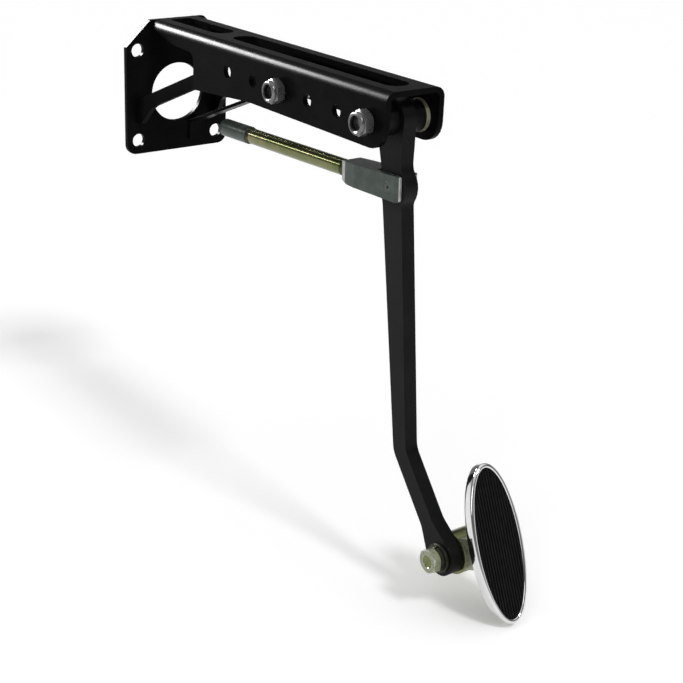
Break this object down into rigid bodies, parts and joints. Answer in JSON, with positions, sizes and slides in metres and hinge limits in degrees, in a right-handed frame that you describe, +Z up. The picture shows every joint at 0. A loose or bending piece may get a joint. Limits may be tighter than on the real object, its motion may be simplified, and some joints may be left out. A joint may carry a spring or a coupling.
{
  "type": "brake pedal assembly",
  "caption": "Swing brake pedal on a channel bracket with a firewall plate, a stay strap, an adjustable push rod and an oval ribbed pad.",
  "frame": {"origin": "centre of the plate's bolt pattern, on the plate's back face", "axes": "+X away from the firewall towards the driver, +Y to the driver's right, +Z up"},
  "size_m": [0.4884, 0.112, 0.423],
  "materials": {
    "gloss_black": "gloss powder coat",
    "satin_black": "satin powder coat",
    "zinc": "bright zinc plate",
    "yellow_zinc": "yellow zinc plate on steel",
    "grey_zinc": "dull zinc plate",
    "chrome": "polished",
    "rubber": "moulded ribs"
  },
  "bodies": {
    "bracket": {"mount_plate": "gloss_black", "channel": "gloss_black", "stay_strap": "gloss_black", "cross_bolt": "zinc", "cross_nut": "zinc", "cross_spacer": "zinc", "pivot_bolt": "zinc", "pivot_nut": "zinc", "pivot_sleeve": "zinc"},
    "pedal": {"pedal_arm": "satin_black", "pivot_hub": "satin_black", "hub_bush_near": "yellow_zinc", "hub_bush_far": "yellow_zinc", "pad_bolt": "yellow_zinc", "pad_lock_washer": "yellow_zinc", "pad_flat_washer": "yellow_zinc", "pad_nut": "yellow_zinc"},
    "clevis": {"clevis": "grey_zinc", "clevis_pin": "zinc"},
    "rod": {"push_rod": "yellow_zinc", "rod_coupler": "zinc"},
    "pad": {"pad_boss": "yellow_zinc", "pad_back_plate": "yellow_zinc", "pad_rubber": "rubber", "pad_trim": "chrome"}
  },
  "joints": [
    {"name": "pedal_pivot", "type": "hinge", "parent": "bracket", "child": "pedal", "pos_m": [0.3373, 0, 0.0472], "axis": [0, 1, 0], "range_deg": [0, 20]},
    {"name": "clevis_pivot", "type": "hinge", "parent": "pedal", "child": "clevis", "pos_m": [0.3448, 0, -0.0058], "axis": [0, 1, 0], "range_deg": [-20, 0]},
    {"name": "rod_adjust", "type": "slide", "parent": "clevis", "child": "rod", "axis": [-0.9993, 0, -0.0384], "range_m": [0, 0.008]},
    {"name": "pad_tilt", "type": "hinge", "parent": "pedal", "child": "pad", "pos_m": [0.4315, 0.0257, -0.2998], "axis": [0, 1, 0], "range_deg": [-15, 15]}
  ],
  "couplings": [
    {"joint": "clevis_pivot", "follows": "pedal_pivot", "ratio": -1}
  ]
}
